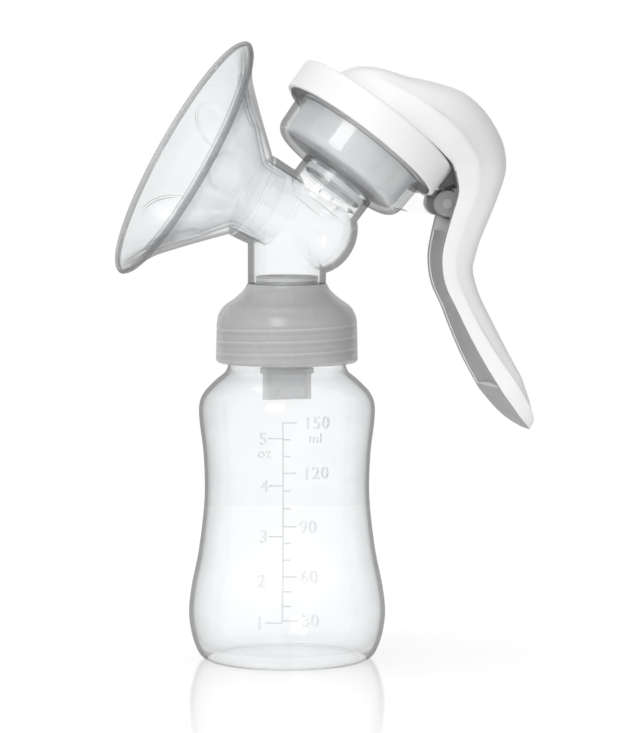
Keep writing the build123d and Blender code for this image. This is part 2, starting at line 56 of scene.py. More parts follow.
# ---------------------------------------------------------------- axes
HEAD_AXIS = Vector(JOINTS["diaphragm_stroke"]["axis"]).normalized()
HEAD_BASE = Vector((22.72, 0, 156.97)) * MM
FUNNEL_RISE = math.radians(29.0)
FUNNEL_AXIS = Vector((-math.cos(FUNNEL_RISE), 0, math.sin(FUNNEL_RISE)))
RIM_CENTRE = Vector((-32.0, 0, 152.4)) * MM


def axis_frame(origin, axis):
    """Matrix whose Z is the axis, Y is the world's Y, and X completes them."""
    side = Vector((0, 1, 0))
    across = side.cross(axis)
    return Matrix(((across.x, side.x, axis.x, origin.x),
                   (across.y, side.y, axis.y, origin.y),
                   (across.z, side.z, axis.z, origin.z),
                   (0, 0, 0, 1)))


UPRIGHT = Matrix.Identity(4)
HEAD = axis_frame(HEAD_BASE, HEAD_AXIS)
FUNNEL = axis_frame(RIM_CENTRE, FUNNEL_AXIS)


# ---------------------------------------------------------------- camera
TARGET = Vector((0.00734, 0, 0.08878))
CAMERA_AZIMUTH = math.radians(-13.98)
CAMERA_ELEVATION = math.radians(4.46)
CAMERA_DISTANCE = 1.10065
LENS = 178.5


def make_camera():
    back = Vector((math.sin(CAMERA_AZIMUTH) * math.cos(CAMERA_ELEVATION),
                   -math.cos(CAMERA_AZIMUTH) * math.cos(CAMERA_ELEVATION),
                   math.sin(CAMERA_ELEVATION)))
    data = bpy.data.cameras.new("camera")
    data.lens = LENS
    data.sensor_width = 36
    camera = bpy.data.objects.new("camera", data)
    camera.location = TARGET + back * CAMERA_DISTANCE
    camera.rotation_euler = (-back).to_track_quat("-Z", "Y").to_euler()
    bpy.context.scene.collection.objects.link(camera)
    bpy.context.scene.camera = camera


# ---------------------------------------------------------------- outlines
def curve(points, steps=6):
    """Points of a smooth curve through the given ones."""
    ends = [points[0]] + list(points) + [points[-1]]
    made = []
    for a, b, c, d in zip(ends, ends[1:], ends[2:], ends[3:]):
        for step in range(steps):
            t = step / steps
            made.append(tuple(0.5 * (2 * q + (r - p) * t + (2 * p - 5 * q + 4 * r - s) * t * t
                                     + (3 * q - p - 3 * r + s) * t ** 3)
                              for p, q, r, s in zip(a, b, c, d)))
    return made + [tuple(points[-1])]


def corner(before, at, after, radius, steps=4):
    """Points of a fillet at a corner of an outline."""
    a, m, b = Vector(before), Vector(at), Vector(after)
    to_a, to_b = (a - m).normalized(), (b - m).normalized()
    turn = to_a.angle(to_b)
    reach = min(radius / math.tan(turn / 2), 0.45 * (a - m).length, 0.45 * (b - m).length)
    start, end = m + to_a * reach, m + to_b * reach
    made = []
    for step in range(steps + 1):
        t = step / steps
        made.append(tuple(start * (1 - t) ** 2 + m * 2 * t * (1 - t) + end * t * t))
    return made


def outline(*entries):
    """Closed outline. A (radius, height, fillet) entry is a rounded corner; a list is a curve's points."""
    flat = []
    for entry in entries:
        if isinstance(entry, list):
            flat += [(r, h, 0) for r, h in entry]
        else:
            flat.append(entry if len(entry) == 3 else (*entry, 0))
    made = []
    for k, (r, h, fillet) in enumerate(flat):
        if fillet:
            made += corner(flat[k - 1][:2], (r, h), flat[(k + 1) % len(flat)][:2], fillet)
        else:
            made.append((r, h))
    return made


def finer(points, low, high, step):
    """The outline with its near-vertical runs between two heights cut into short rows."""
    made = []
    for (r0, h0), (r1, h1) in zip(points, points[1:] + points[:1]):
        made.append((r0, h0))
        if min(h0, h1) >= low and max(h0, h1) <= high and abs(h1 - h0) > 2 * step:
            count = int(abs(h1 - h0) / step)
            made += [(r0 + (r1 - r0) * k / count, h0 + (h1 - h0) * k / count) for k in range(1, count)]
    return made


# ---------------------------------------------------------------- meshes
SHARP_ANGLE = math.radians(38)
AXIS_R = 1e-4


def mesh_object(name, points, faces, matrix=UPRIGHT, sharp=SHARP_ANGLE):
    """A smooth-shaded object from points in millimetres in the matrix's frame."""
    mesh = bpy.data.meshes.new(name)
    mesh.from_pydata([matrix @ (Vector(p) * MM) for p in points], [], faces)
    mesh.validate()
    mesh.shade_smooth()
    mesh.set_sharp_from_angle(angle=sharp)
    obj = bpy.data.objects.new(name, mesh)
    bpy.context.scene.collection.objects.link(obj)
    return obj


def turned(name, matrix, points, segments, reshape=None):
    """Closed outline turned about the matrix's Z. reshape moves a point, given (r, h, angle)."""
    area = sum(r0 * h1 - r1 * h0 for (r0, h0), (r1, h1) in zip(points, points[1:] + points[:1]))
    if area < 0:
        points = points[::-1]
    verts, rows = [], []
    for r, h in points:
        if r < AXIS_R:
            rows.append([len(verts)] * segments)
            verts.append((0, 0, h))
            continue
        rows.append(list(range(len(verts), len(verts) + segments)))
        for k in range(segments):
            angle = 2 * math.pi * k / segments
            rr, hh = reshape(r, h, angle) if reshape else (r, h)
            verts.append((rr * math.cos(angle), rr * math.sin(angle), hh))
    faces = []
    for row, above in zip(rows, rows[1:] + rows[:1]):
        if row[0] == row[1] and above[0] == above[1]:
            continue
        for k in range(segments):
            after = (k + 1) % segments
            face = [row[k], row[after], above[after], above[k]]
            faces.append([v for i, v in enumerate(face) if v not in face[:i]])
    return mesh_object(name, verts, faces, matrix)


# ---------------------------------------------------------------- bottle and adapter
BOTTLE_SIDE = [(24.2, 0.0), (26.3, 1.4), (27.9, 4.4), (29.2, 9.0), (29.8, 15.0), (28.9, 22.8),
               (27.0, 32.0), (25.5, 43.0), (24.9, 52.0), (25.3, 63.0), (26.4, 72.0), (26.5, 77.5),
               (25.0, 81.2), (21.5, 84.9), (18.6, 87.4), (17.6, 90.0)]
BOTTLE_WALL = 1.3
NECK_R, NECK_BORE_R, NECK_FOOT_Z, LIP_Z = 17.6, 16.0, 91.2, 102.6
THREAD_PITCH = 3.6
THREAD_H = 1.05
THREAD_HALF_W = 0.75
THREAD_FLANK = 0.35
THREAD_FADE_TURNS = 0.1
ON_WALL = 0.05              # how near to a threaded cylinder a point counts as on it
BOTTLE_THREAD_Z, BOTTLE_THREAD_TURNS = 92.8, 2.1
COLLAR_THREAD_Z, COLLAR_THREAD_TURNS = 91.3, 2.4
ROW_STEP = 0.24


def smooth(t):
    """Soft step from 0 to 1."""
    t = min(max(t, 0.0), 1.0)
    return t * t * (3 - 2 * t)


def thread_height(h, angle, start, turns):
    """Height of a screw thread's ridge at a place on its cylinder."""
    turn = angle / (2 * math.pi)
    along = (h - start) / THREAD_PITCH - turn
    whole = round(along)
    distance = abs(along - whole) * THREAD_PITCH
    position = whole + turn
    if not 0 < position < turns:
        return 0.0
    fade = smooth(min(position, turns - position) / THREAD_FADE_TURNS)
    return THREAD_H * fade * smooth((THREAD_HALF_W - distance) / THREAD_FLANK)


def bottle_wall(r, h, angle):
    """The neck's outside carries the thread."""
    if abs(r - NECK_R) < ON_WALL and h > NECK_FOOT_Z:
        return r + thread_height(h, angle, BOTTLE_THREAD_Z, BOTTLE_THREAD_TURNS), h
    return r, h


def make_bottle():
    inner = [(r - BOTTLE_WALL, z) for r, z in BOTTLE_SIDE[3:]]
    inside = curve([(18.0, 3.8), (24.4, 4.0), (26.8, 6.4)] + inner)
    points = outline((0, 3.2), (20.2, 1.6, 2.0), (22.0, 0.0, 0.6), curve(BOTTLE_SIDE), (NECK_R, NECK_FOOT_Z),
                     (NECK_R, LIP_Z, 0.4), (NECK_BORE_R, LIP_Z, 0.4), (NECK_BORE_R, 92.0, 1.5),
                     inside[::-1], (0, 4.6))
    points = finer(points, 91.0, LIP_Z - 0.1, ROW_STEP)
    return turned("bottle_clear", UPRIGHT, points, segments=192, reshape=bottle_wall)


COLLAR_BORE_R, COLLAR_FOOT_Z = 19.7, 90.5
BELL = [(21.2, 102.4), (20.6, 104.9), (19.0, 107.3), (15.7, 109.7), (13.1, 112.1), (12.1, 114.0)]


def collar_wall(r, h, angle):
    """The collar's bore carries the matching thread."""
    if abs(r - COLLAR_BORE_R) < ON_WALL and h > COLLAR_FOOT_Z:
        return r - thread_height(h, angle, COLLAR_THREAD_Z, COLLAR_THREAD_TURNS), h
    return r, h


def make_adapter():
    points = outline((5.0, 90.0, 0.3), (6.2, 90.0, 0.3), (6.2, 109.0, 0.6), (9.3, 109.0, 0.4),
                     (9.3, 111.5, 0.4), (11.4, 111.5), (14.0, 109.1, 2.0), (17.3, 106.7, 1.0),
                     (17.3, 104.0, 0.3), (COLLAR_BORE_R, 104.0, 0.3), (COLLAR_BORE_R, 90.3, 0.3),
                     (20.75, 90.3, 0.3), (21.45, 91.0, 0.6),
                     curve(BELL), (9.3, 114.0, 0.2), (9.3, 114.9), (8.8, 114.9), (8.8, 115.9), (9.3, 115.9),
                     (9.3, 116.4, 0.2), (7.9, 116.4, 0.2), (7.9, 112.5, 0.8), (5.0, 112.5, 0.4))
    points = finer(points, 90.3, 104.0, ROW_STEP)
    return turned("adapter_milky", UPRIGHT, points, segments=192, reshape=collar_wall)


# ---------------------------------------------------------------- graduations
# Angles are round the bottle's axis in degrees, from +X towards +Y; heights are millimetres.
SCALE_ANGLE = -106.3
ML_TICKS = {30: 15.7, 60: 28.5, 90: 43.2, 120: 59.1, 150: 74.2}
OZ_TICKS = {1: 15.0, 2: 27.3, 3: 40.3, 4: 55.3, 5: 69.5}
ML_TICK_END, MINOR_TICK_END, OZ_TICK_END = -97.3, -101.3, -115.8
ML_TEXT_ANGLE, OZ_TEXT_ANGLE = -95.6, -123.6
TEXT_H, UNIT_H = 3.7, 3.7 * 0.8
MARK_RISE = 0.22
MARK_SINK = 0.05
LINE_W = 0.35
LINE_TOP = 0.55             # width of a line's top, in parts of its foot
TICK_GAP = 0.5              # degrees between the upright line and a tick
FIGURE_SHARE = 0.7          # height of a figure in parts of the font's size


def bottle_radius(z):
    """Radius of the bottle's outside at a height."""
    side = curve(BOTTLE_SIDE)
    return float(np.interp(z, [h for _, h in side], [r for r, _ in side]))


def on_bottle(angle, z, lift):
    """Point on the bottle's outside, lifted off it."""
    r = bottle_radius(z) + lift
    return r * math.cos(math.radians(angle)), r * math.sin(math.radians(angle)), z


def rib(verts, faces, start, end, width):
    """Raised rib on the bottle between two (angle, height) places."""
    (a0, z0), (a1, z1) = start, end
    arc = math.radians(a1 - a0) * bottle_radius((z0 + z1) / 2)
    length = math.hypot(arc, z1 - z0)
    across_angle = -(z1 - z0) / length * width / 2 / math.radians(1) / bottle_radius((z0 + z1) / 2)
    across_z = arc / length * width / 2
    count = max(3, int(length))
    base = len(verts)
    for k in range(count + 1):
        t = k / count
        a, z = a0 + (a1 - a0) * t, z0 + (z1 - z0) * t
        for side, lift in ((-1, -MARK_SINK), (-LINE_TOP, MARK_RISE), (LINE_TOP, MARK_RISE), (1, -MARK_SINK)):
            verts.append(on_bottle(a + across_angle * side, z + across_z * side, lift))
    for k in range(count):
        for j in range(4):
            a, b = base + 4 * k + j, base + 4 * k + (j + 1) % 4
            faces.append([a, b, b + 4, a + 4])
    faces.append([base + j for j in (3, 2, 1, 0)])
    faces.append([base + 4 * count + j for j in range(4)])


def lettering(verts, faces, text, angle, z, height):
    """Raised figures on the bottle, their left edge at the angle and their middle at the height."""
    data = bpy.data.curves.new("figures", "FONT")
    data.body = text
    data.size = height / FIGURE_SHARE
    data.extrude = 0.5
    data.resolution_u = 3
    data.space_character = 1.08
    data.offset = -0.02
    holder = bpy.data.objects.new("figures", data)
    mesh = bpy.data.meshes.new_from_object(holder)
    base = len(verts)
    for vertex in mesh.vertices:
        x, y, depth = vertex.co
        place_z = z + y - height / 2
        turn = math.degrees(x / bottle_radius(z))
        verts.append(on_bottle(angle + turn, place_z, MARK_RISE if depth > 0 else -MARK_SINK))
    for polygon in mesh.polygons:
        faces.append([base + v for v in polygon.vertices])
    bpy.data.meshes.remove(mesh)
    bpy.data.objects.remove(holder)
    bpy.data.curves.remove(data)


def make_marks():
    verts, faces = [], []
    ml = list(ML_TICKS.values())
    rib(verts, faces, (SCALE_ANGLE, ml[0] - 0.6), (SCALE_ANGLE, ml[-1] + 0.3), LINE_W)
    for low, high in zip(ml, ml[1:]):
        for part in (1, 2):
            z = low + (high - low) * part / 3
            rib(verts, faces, (SCALE_ANGLE + TICK_GAP, z), (MINOR_TICK_END, z), LINE_W)
    for amount, z in ML_TICKS.items():
        rib(verts, faces, (SCALE_ANGLE + TICK_GAP, z), (ML_TICK_END, z), LINE_W)
        shift = 2.5 if amount >= 100 else 0
        lettering(verts, faces, str(amount), ML_TEXT_ANGLE + shift, z, TEXT_H)
    for amount, z in OZ_TICKS.items():
        rib(verts, faces, (OZ_TICK_END, z), (SCALE_ANGLE - TICK_GAP, z), LINE_W)
        lettering(verts, faces, str(amount), OZ_TEXT_ANGLE + 1.5, z, TEXT_H)
    lettering(verts, faces, "ml", ML_TEXT_ANGLE + 6, ML_TICKS[150] - 4.6, UNIT_H)
    lettering(verts, faces, "oz", OZ_TEXT_ANGLE, OZ_TICKS[5] - 4.3, UNIT_H)
    return mesh_object("bottle_marks", verts, faces, UPRIGHT, math.radians(30))


# ---------------------------------------------------------------- funnel
CONE = [(13.3, -23.6), (19.7, -16.8), (25.2, -11.1), (31.3, -5.3), (38.1, -1.0)]


def lifted(points, height):
    """The outline's points moved up."""
    return [(r, h + height) for r, h in points]


def make_shield():
    inner = lifted(CONE[1:4], 1.9)
    inside = curve([(36.6, -0.2)] + inner[::-1] + [(11.6, -22.8), (10.5, -25.5)])
    points = outline(curve(CONE), (38.4, -0.2, 0.1), (37.4, 0.0), inside, (10.0, -35.0, 0.3),
                     (11.15, -35.0, 0.3), (11.65, -23.95), (13.3, -23.95))
    return turned("shield_clear", FUNNEL, points, segments=224)


PETALS = 5
PETAL_RISE = 1.8
PETAL_MID = (25.0, -8.0)
PETAL_HALF_LENGTH, PETAL_HALF_WIDTH = 9.2, 5.9
PETAL_EDGE = 0.80           # the petal is full height within this part of its reach
PETAL_DOME = 0.12           # part of its height lost from the middle to the edge
CONE_SLOPE = Vector((0.746, 0.666))


def petal(r, h, angle):
    """Lifts the liner's points into five rounded petals that stand off the cone."""
    across, up = r - PETAL_MID[0], h - PETAL_MID[1]
    along = across * CONE_SLOPE.x + up * CONE_SLOPE.y
    if abs(along) > PETAL_HALF_LENGTH:
        return r, h
    step = 2 * math.pi / PETALS
    beside = ((angle + math.pi / 2 + step / 2) % step - step / 2) * r
    reach = math.hypot(along / PETAL_HALF_LENGTH, beside / PETAL_HALF_WIDTH)
    rise = PETAL_RISE * smooth((1 - reach) / (1 - PETAL_EDGE)) * (1 - PETAL_DOME * min(reach, 1))
    return r - CONE_SLOPE.y * rise, h + CONE_SLOPE.x * rise


def make_cushion():
    back = curve([(36.4, 0.1)] + lifted(CONE[1:4], 2.1)[::-1] + [(11.4, -22.6), (10.35, -25.7)], 14)
    front = curve([(36.2, 1.15)] + lifted(CONE[1:4], 3.5)[::-1] + [(10.7, -21.6), (9.4, -25.0)], 14)
    rim = curve([(38.75, -1.2), (39.45, -0.35), (38.75, 0.6), (37.6, 1.05)], 5)
    points = outline(back, (10.2, -30.0, 0.2), (9.4, -30.0, 0.2), front[::-1], rim[::-1], (38.45, -1.15, 0.1),
                     (38.45, 0.0, 0.15), (37.4, 0.2))
    return turned("cushion_soft", FUNNEL, points, segments=360, reshape=petal)


# ---------------------------------------------------------------- head
def make_ring():
    points = outline((26.0, 0.0, 0.2), (27.25, 0.0, 0.55), (27.5, 9.6, 0.8), (23.6, 9.6, 0.3),
                     (23.6, 8.25, 0.2), (26.0, 8.25, 0.3))
    return turned("ring_white", HEAD, points, segments=192)


def make_diaphragm():
    points = outline((0, -11.0), (19.2, -11.0, 2.2), (19.9, -8.6), (20.3, 0.85, 0.4), (25.7, 0.85, 0.3),
                     (25.7, 2.6, 0.3), (19.0, 2.6, 0.5), (18.6, -9.5, 1.6), (9.5, -9.5, 0.8),
                     (8.8, -7.0, 0.6), (2.55, -7.0, 0.1), (2.55, -8.0), (7.05, -8.0), (7.05, -9.3), (0, -9.3))
    points = finer(points, -8.7, 1.0, 0.8)
    return turned("diaphragm_soft", HEAD, points, segments=160)


# ---------------------------------------------------------------- materials
def new_material(name):
    material = bpy.data.materials.new(name)
    material.use_nodes = True
    tree = material.node_tree
    shader = tree.nodes["Principled BSDF"]
    return material, tree, shader


def add(tree, kind, **values):
    """New node. Each value is an input's or, where there is none of that name, a property's."""
    node = tree.nodes.new(kind)
    for key, value in values.items():
        if key in node.inputs:
            node.inputs[key].default_value = value
        else:
            setattr(node, key, value)
    return node


def calculated(tree, operation, first, *others):
    """Result of a maths node fed by sockets or numbers."""
    node = add(tree, "ShaderNodeMath", operation=operation)
    for socket, value in zip(node.inputs, (first, *others)):
        if isinstance(value, (int, float)):
            socket.default_value = value
        else:
            tree.links.new(value, socket)
    return node.outputs[0]


def dotted(tree, vector, direction):
    """Dot product of a vector socket with a fixed direction."""
    node = add(tree, "ShaderNodeVectorMath", operation="DOT_PRODUCT")
    node.inputs[1].default_value = direction
    tree.links.new(vector, node.inputs[0])
    return node.outputs["Value"]


def separated(tree, vector):
    """The three coordinates of a vector socket."""
    node = add(tree, "ShaderNodeSeparateXYZ")
    tree.links.new(vector, node.inputs[0])
    return node.outputs


def multiplied(tree, first, second):
    """Product of two colours."""
    node = add(tree, "ShaderNodeMix", data_type="RGBA", blend_type="MULTIPLY")
    node.inputs["Factor"].default_value = 1.0
    tree.links.new(first, node.inputs["A"])
    tree.links.new(second, node.inputs["B"])
    return node.outputs["Result"]


def blended(tree, share, first, second):
    """Mix of two colours; share is the second's."""
    node = add(tree, "ShaderNodeMix", data_type="RGBA")
    tree.links.new(share, node.inputs["Factor"])
    for value, socket in ((first, node.inputs["A"]), (second, node.inputs["B"])):
        if isinstance(value, float):
            socket.default_value = (*grey(value), 1)
        else:
            tree.links.new(value, socket)
    return node.outputs["Result"]


def join(tree, share, first, second):
    """Mix of two shaders; share is the second's."""
    node = add(tree, "ShaderNodeMixShader")
    if isinstance(share, float):
        node.inputs["Fac"].default_value = share
    else:
        tree.links.new(share, node.inputs["Fac"])
    tree.links.new(first, node.inputs[1])
    tree.links.new(second, node.inputs[2])
    return node.outputs["Shader"]


def noise(tree, scale, detail):
    """Noise placed by the object's own coordinates, in metres."""
    point = add(tree, "ShaderNodeTexCoord")
    texture = add(tree, "ShaderNodeTexNoise", Scale=scale, Detail=detail)
    tree.links.new(point.outputs["Object"], texture.inputs["Vector"])
    return texture.outputs["Fac"]


NOISE_LOW, NOISE_HIGH = 0.3, 0.7     # the range that most of a noise lies in


def spread(tree, value, low, high):
    """Noise mapped onto low to high."""
    node = add(tree, "ShaderNodeMapRange")
    node.inputs["From Min"].default_value = NOISE_LOW
    node.inputs["From Max"].default_value = NOISE_HIGH
    node.inputs["To Min"].default_value = low
    node.inputs["To Max"].default_value = high
    tree.links.new(value, node.inputs["Value"])
    return node.outputs["Result"]


def ramp(tree, value, stops):
    """Colour for a value, from (position, colour) stops."""
    node = add(tree, "ShaderNodeValToRGB")
    elements = node.color_ramp.elements
    while len(elements) < len(stops):
        elements.new(0.5)
    for element, (position, colour) in zip(elements, stops):
        element.position = position
        element.color = (*colour, 1)
    tree.links.new(value, node.inputs["Fac"])
    return node.outputs["Color"]


def bumps(tree, shader, layers):
    """Chains bump layers of (noise scale, detail, strength, depth in metres) into the shader's normal."""
    last = None
    for scale, detail, strength, depth in layers:
        node = add(tree, "ShaderNodeBump", Strength=strength, Distance=depth)
        tree.links.new(noise(tree, scale, detail), node.inputs["Height"])
        if last:
            tree.links.new(last.outputs["Normal"], node.inputs["Normal"])
        last = node
    tree.links.new(last.outputs["Normal"], shader.inputs["Normal"])


def grey(value, cool=0.0):
    """Linear grey, a little towards blue if cool is given."""
    return (value - cool, value, value + cool)


def inside_bores(tree, bores):
    """1 on surfaces within the given bores, each (matrix, radius, low, high) in millimetres."""
    point = add(tree, "ShaderNodeTexCoord").outputs["Object"]
    found = None
    for matrix, radius, low, high in bores:
        axis = matrix.col[2].xyz
        offset = add(tree, "ShaderNodeVectorMath", operation="SUBTRACT")
        offset.inputs[1].default_value = matrix.translation
        tree.links.new(point, offset.inputs[0])
        across = add(tree, "ShaderNodeVectorMath", operation="CROSS_PRODUCT")
        across.inputs[1].default_value = axis
        tree.links.new(offset.outputs[0], across.inputs[0])
        length = add(tree, "ShaderNodeVectorMath", operation="LENGTH")
        tree.links.new(across.outputs[0], length.inputs[0])
        along = dotted(tree, offset.outputs[0], axis)
        within = calculated(tree, "LESS_THAN", length.outputs["Value"], radius * MM)
        for limit, side in ((low, "GREATER_THAN"), (high, "LESS_THAN")):
            within = calculated(tree, "MULTIPLY", within, calculated(tree, side, along, limit * MM))
        found = calculated(tree, "MAXIMUM", found, within) if found else within
    return found


CLEAR_COOL = 0.003
CLOUD = 0.985, 1.0          # faint unevenness of the plastic's clearness
LAMP_SHARE = 0.95           # part of the lamps' light that a surface lets through
SHINE_POWER = 5.0           # how steeply the sheen rises towards the limb
LIMB_SHINE = 0.18           # share added there
FACING_SHINE = 0.6          # part of the full reflectance kept where a surface is seen square on


def clear_plastic(name, ior, stops, roughness, waviness, straight, bores=()):
    """See-through moulding. Most light goes straight on, with painted shade where the wall is seen edge on,
    and the rest is bent and mirrored; lamp light passes."""
    material, tree, shader = new_material(name)
    shader.inputs["Transmission Weight"].default_value = 1.0
    shader.inputs["IOR"].default_value = ior
    edge = add(tree, "ShaderNodeLayerWeight", Blend=0.5)
    # painted shade: the wall's colour darkens as it is seen more edge on
    tint = ramp(tree, edge.outputs["Facing"], [(p, grey(v, CLEAR_COOL)) for p, v in stops])
    if bores:
        lining = ramp(tree, edge.outputs["Facing"], [(p, grey(v, CLEAR_COOL)) for p, v in INNER_EDGE])
        tint = blended(tree, inside_bores(tree, bores), tint, lining)
    tint = multiplied(tree, tint, spread(tree, noise(tree, 60, 2), *CLOUD))
    tree.links.new(tint, shader.inputs["Base Color"])
    gloss_roughness = spread(tree, noise(tree, 220, 4), *roughness)
    tree.links.new(gloss_roughness, shader.inputs["Roughness"])
    bumps(tree, shader, [(45, 2, waviness, 0.0006), (900, 2, 0.03, 0.00005)])
    through = add(tree, "ShaderNodeBsdfTransparent")
    tree.links.new(tint, through.inputs["Color"])
    gloss = add(tree, "ShaderNodeBsdfAnisotropic")
    tree.links.new(gloss_roughness, gloss.inputs["Roughness"])
    tree.links.new(shader.inputs["Normal"].links[0].from_socket, gloss.inputs["Normal"])
    steep = calculated(tree, "POWER", edge.outputs["Facing"], SHINE_POWER)
    shine = calculated(tree, "MULTIPLY_ADD", steep, LIMB_SHINE, FACING_SHINE * ((ior - 1) / (ior + 1)) ** 2)
    skin = join(tree, shine, through.outputs["BSDF"], gloss.outputs["BSDF"])
    body = join(tree, straight, shader.outputs["BSDF"], skin)
    open_way = add(tree, "ShaderNodeBsdfTransparent", Color=(*grey(LAMP_SHARE), 1))
    path = add(tree, "ShaderNodeLightPath")
    surface = join(tree, path.outputs["Is Shadow Ray"], body, open_way.outputs["BSDF"])
    tree.links.new(surface, tree.nodes["Material Output"].inputs["Surface"])
    return material


def opaque_plastic(name, low, high, roughness, grain, soft=0.0):
    """Solid moulded plastic or rubber with faint mottling, uneven gloss and a fine grain."""
    material, tree, shader = new_material(name)
    tint = ramp(tree, noise(tree, 35, 4), [(0.3, low), (0.7, high)])
    tree.links.new(tint, shader.inputs["Base Color"])
    tree.links.new(spread(tree, noise(tree, 160, 5), *roughness), shader.inputs["Roughness"])
    shader.inputs["Subsurface Weight"].default_value = soft
    shader.inputs["Subsurface Scale"].default_value = 0.003
    shader.inputs["Subsurface Radius"].default_value = (1.0, 0.95, 0.9)
    bumps(tree, shader, grain)
    return material


# Painted highlight and shade of a screw thread that shows through, in parts of the pitch: pale crest, grey
# groove.
THREAD_LIGHT_AND_SHADE = [(0.0, 1.0), (0.08, 1.28), (0.16, 0.94), (0.55, 1.0), (0.82, 0.88), (0.9, 1.0)]
THREAD_TOP_Z = 102.5


def milky_plastic(name, value, solid, roughness, lines=None):
    """Cloudy moulding that lets a share of the light through, with the thread's painted highlight and shade
    if lines are given.
    """
    material = opaque_plastic(name, grey(value, 0.003), grey(value + 0.03, 0.002), roughness,
                              [(40, 2, 0.06, 0.0006), (1100, 2, 0.05, 0.00005)], soft=0.3)
    tree = material.node_tree
    shader = tree.nodes["Principled BSDF"]
    if lines:
        # painted highlight and shade of the thread, multiplied into the collar's colour
        band = multiplied(tree, shader.inputs["Base Color"].links[0].from_socket, thread_bands(tree, lines))
        tree.links.new(band, shader.inputs["Base Color"])
    through = add(tree, "ShaderNodeBsdfTransparent", Color=(*grey(0.9), 1))
    surface = join(tree, solid, through.outputs["BSDF"], shader.outputs["BSDF"])
    tree.links.new(surface, tree.nodes["Material Output"].inputs["Surface"])
    return material


def thread_bands(tree, lines):
    """Painted highlight and shade that follow the collar's thread; plain above it."""
    x, y, z = separated(tree, add(tree, "ShaderNodeTexCoord").outputs["Object"])
    turn = calculated(tree, "MULTIPLY", calculated(tree, "ARCTAN2", y, x), 1 / (2 * math.pi))
    along = calculated(tree, "MULTIPLY_ADD", z, 1 / (THREAD_PITCH * MM), -COLLAR_THREAD_Z / THREAD_PITCH)
    position = calculated(tree, "FRACT", calculated(tree, "SUBTRACT", along, turn))
    bands = ramp(tree, position, [(p, grey(v / 2)) for p, v in lines])
    above = calculated(tree, "GREATER_THAN", z, THREAD_TOP_Z * MM)
    halved = blended(tree, above, bands, 0.5)
    doubled = add(tree, "ShaderNodeVectorMath", operation="SCALE")
    doubled.inputs["Scale"].default_value = 2.0
    tree.links.new(halved, doubled.inputs[0])
    return doubled.outputs[0]


PIVOT_XZ = (48.49, 137.97)
CHEEK_REACH, CHEEK_HALF = 7.5, 6.75
OPEN_SIDE = (-0.93, 0.0, -0.37)     # the way the lever's open side looks
OPEN_TURN = 0.62                    # faces nearer to it than this cosine are inside
LEVER_TOP_Z = 148.0


def grip_inside(tree):
    """1 on the lever's faces that look towards the bottle and on its hinge cheeks, which take the grip's grey
    with painted shade, 0 on the outside.
    """
    point = add(tree, "ShaderNodeTexCoord")
    x, y, z = separated(tree, point.outputs["Object"])
    inner = calculated(tree, "GREATER_THAN", dotted(tree, point.outputs["Normal"], OPEN_SIDE), OPEN_TURN)
    lever = calculated(tree, "LESS_THAN", z, LEVER_TOP_Z * MM)
    inner = calculated(tree, "MULTIPLY", inner, lever)
    dx = calculated(tree, "SUBTRACT", x, PIVOT_XZ[0] * MM)
    dz = calculated(tree, "SUBTRACT", z, PIVOT_XZ[1] * MM)
    reach = calculated(tree, "SQRT", calculated(tree, "ADD", calculated(tree, "MULTIPLY", dx, dx),
                                               calculated(tree, "MULTIPLY", dz, dz)))
    near = calculated(tree, "LESS_THAN", reach, CHEEK_REACH * MM)
    middle = calculated(tree, "LESS_THAN", calculated(tree, "ABSOLUTE", y), CHEEK_HALF * MM)
    return calculated(tree, "MAXIMUM", inner, calculated(tree, "MULTIPLY", near, middle))


def two_tone(name, outside, inside, roughness, grain):
    """White shell of the handle whose inner side and hinge cheeks are the grip's grey, partly painted shade.
    """
    material = opaque_plastic(name, *outside, roughness, grain, soft=0.1)
    tree = material.node_tree
    shader = tree.nodes["Principled BSDF"]
    white = shader.inputs["Base Color"].links[0].from_socket
    darker = ramp(tree, noise(tree, 35, 4), [(0.3, inside[0]), (0.7, inside[1])])
    tree.links.new(blended(tree, grip_inside(tree), white, darker), shader.inputs["Base Color"])
    return material


# How much light a surface passes, by how edge-on it is seen: painted shade that stands in for the darkening
# of the walls by bent and mirrored light. The band where a ray crosses only the wall, and not the space
# inside, is painted dark.
CONE_EDGE = [(0.0, 1.0), (0.4, 0.985), (0.6, 0.95), (0.7, 0.86), (0.76, 0.66), (1.0, 0.6)]
TUBE_EDGE = [(0.0, 1.0), (0.34, 0.99), (0.42, 0.93), (0.48, 0.60), (0.6, 0.54), (1.0, 0.5)]
CUP_EDGE = [(0.0, 1.0), (0.42, 0.98), (0.58, 0.88), (0.65, 0.60), (0.8, 0.54), (1.0, 0.5)]
BOTTLE_EDGE = [(0.0, 1.0), (0.25, 0.998), (0.36, 0.978), (0.46, 0.93), (0.6, 0.86), (0.68, 0.78),
               (0.73, 0.56), (1.0, 0.5)]
INNER_EDGE = [(0.0, 1.0), (0.6, 0.998), (0.85, 0.985), (1.0, 0.93)]
MARK_EDGE = [(0.0, 0.97), (0.25, 0.90), (0.5, 0.5), (1.0, 0.3)]
RIM_EDGE = [(0.0, 0.70), (0.5, 0.62), (0.8, 0.52), (1.0, 0.42)]
SOFT_EDGE = [(0.0, 1.0), (0.5, 0.99), (0.75, 0.95), (0.88, 0.82), (1.0, 0.6)]

